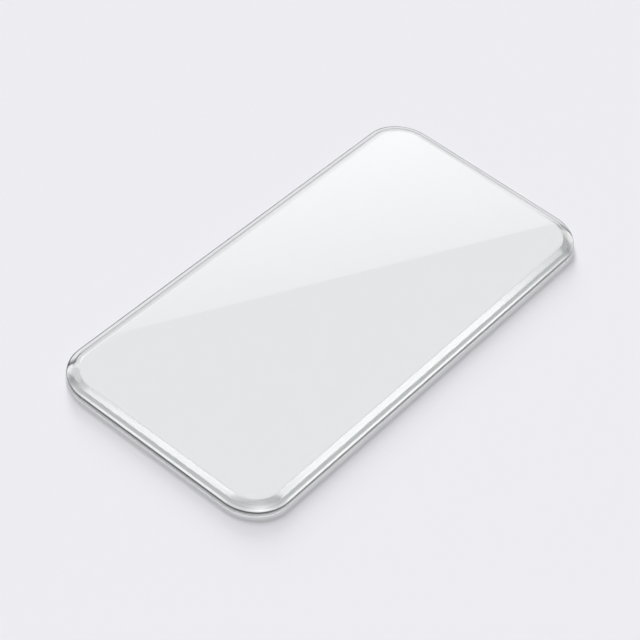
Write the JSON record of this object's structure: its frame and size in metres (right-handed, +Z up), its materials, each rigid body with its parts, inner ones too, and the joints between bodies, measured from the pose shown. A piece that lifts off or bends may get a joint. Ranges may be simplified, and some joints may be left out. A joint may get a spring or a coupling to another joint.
{
  "type": "phone screen protector",
  "caption": "Clear glass sheet with rounded corners and a curved, ground and polished edge, laid on a phone's screen to guard it from scratches and knocks.",
  "frame": {"origin": "centre of the underside, the face that goes onto the phone", "axes": "+X across the width, +Y along the length, +Z up out of the touch face"},
  "size_m": [0.0694, 0.146, 0.0027],
  "materials": {
    "clear_glass": "clear, colourless and polished on every face"
  },
  "bodies": {
    "root": {"screen_glass": "clear_glass"}
  },
  "joints": []
}
